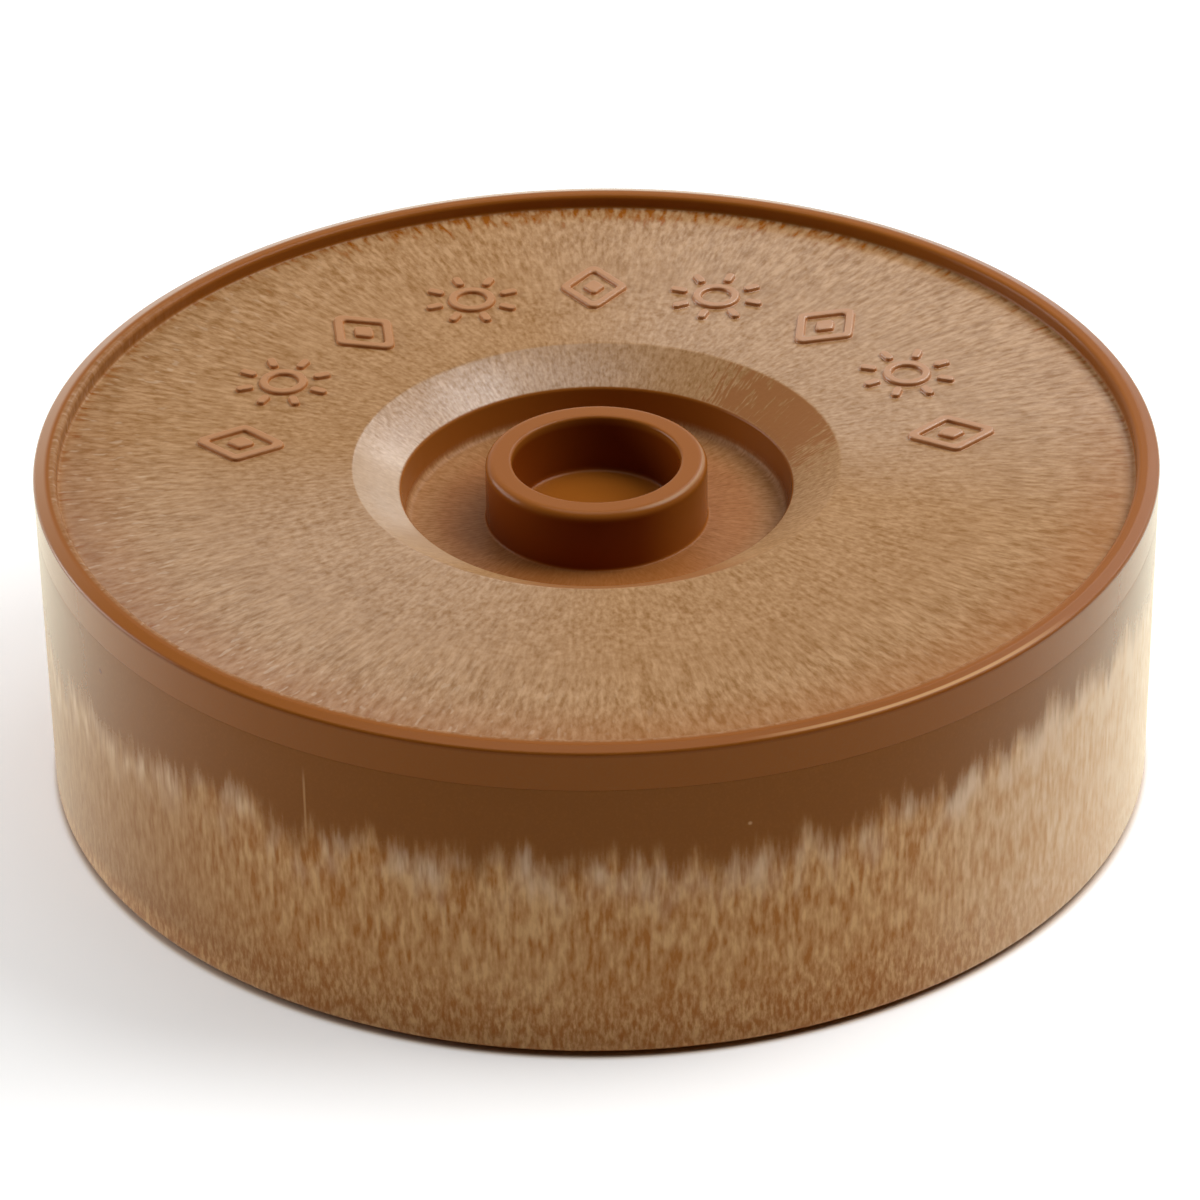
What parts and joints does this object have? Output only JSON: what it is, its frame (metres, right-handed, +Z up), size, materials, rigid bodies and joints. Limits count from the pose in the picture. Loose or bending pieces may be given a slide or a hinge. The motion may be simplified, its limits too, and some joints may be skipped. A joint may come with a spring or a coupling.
{
  "type": "tortilla warmer",
  "caption": "Round lidded server for warm flat breads: a deep moulded bowl and a lift-off lid with a ring knob sunk in a finger well and a raised rim bead.",
  "frame": {"origin": "centre of the foot ring on the table surface, below the middle of the closed server", "axes": "+Z up along the common axis of bowl and lid, +Y towards the middle of the row of raised ornaments on the lid, +X to the right of someone facing that row"},
  "size_m": [0.1904, 0.1904, 0.0594],
  "materials": {
    "bowl_plastic": "satin",
    "lid_plastic": "satin"
  },
  "bodies": {
    "base": {"base_bowl": "bowl_plastic"},
    "lid": {"lid": "lid_plastic"}
  },
  "joints": [
    {"name": "lid_lift", "type": "slide", "parent": "base", "child": "lid", "axis": [0, 0, 1], "range_m": [0, 0.08]}
  ]
}
